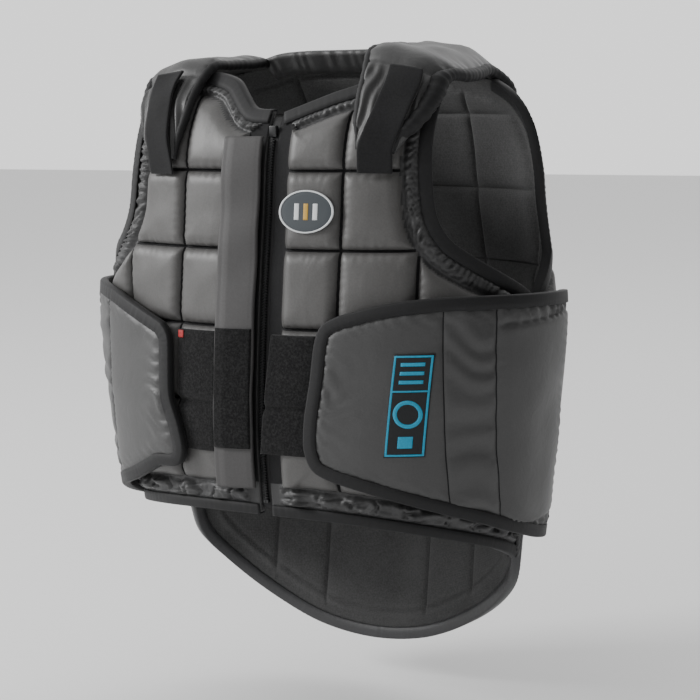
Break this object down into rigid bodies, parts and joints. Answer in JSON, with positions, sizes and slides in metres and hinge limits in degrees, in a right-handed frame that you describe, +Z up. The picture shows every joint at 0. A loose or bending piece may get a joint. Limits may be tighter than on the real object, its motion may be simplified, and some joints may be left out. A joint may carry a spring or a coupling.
{
  "type": "equestrian body protector",
  "caption": "Padded riding vest of quilted foam blocks with a front zip, wraparound waist flaps, shoulder pads on straps and a rounded tail flap.",
  "frame": {"origin": "shoulder seat: midway between the shoulders, at the height where the shoulder pads rest on them", "axes": "+Z up, -Y towards the front with the zip, +X towards the wearer's left"},
  "size_m": [0.4674, 0.2764, 0.5725],
  "materials": {
    "satin_nylon": "satin-faced nylon, light grey",
    "binding_tape": "folded woven tape, charcoal",
    "hook_and_loop": "hook-and-loop pile, near black",
    "placket_cloth": "plain-weave nylon, mid grey",
    "zip_plastic": "moulded plastic, dark grey",
    "label_weave": "woven label, black with cyan frame",
    "badge_rubber": "moulded badge, slate with white rim",
    "tab_tape": "red woven tab"
  },
  "bodies": {
    "root": {"front_panel_left": "satin_nylon", "front_panel_right": "satin_nylon", "back_panel": "satin_nylon", "tail_flap": "satin_nylon", "back_neck_roll": "satin_nylon", "shoulder_pad_left": "satin_nylon", "shoulder_pad_right": "satin_nylon", "shoulder_strap_left": "hook_and_loop", "shoulder_strap_right": "hook_and_loop", "waist_flap_left": "satin_nylon", "waist_flap_right": "satin_nylon", "neck_binding_left": "binding_tape", "neck_binding_right": "binding_tape", "armhole_binding_left": "binding_tape", "armhole_binding_right": "binding_tape", "back_armhole_binding_left": "binding_tape", "back_armhole_binding_right": "binding_tape", "hem_binding_left": "binding_tape", "hem_binding_right": "binding_tape", "tail_binding": "binding_tape", "flap_binding_left": "binding_tape", "flap_binding_right": "binding_tape", "zip_tape": "binding_tape", "zip_chain": "zip_plastic", "zip_slider": "zip_plastic", "zip_placket": "placket_cloth", "loop_patch_left": "hook_and_loop", "loop_patch_right": "hook_and_loop", "loop_patch_placket": "hook_and_loop", "side_label": "label_weave", "chest_badge": "badge_rubber", "corner_tab": "tab_tape"}
  },
  "joints": []
}
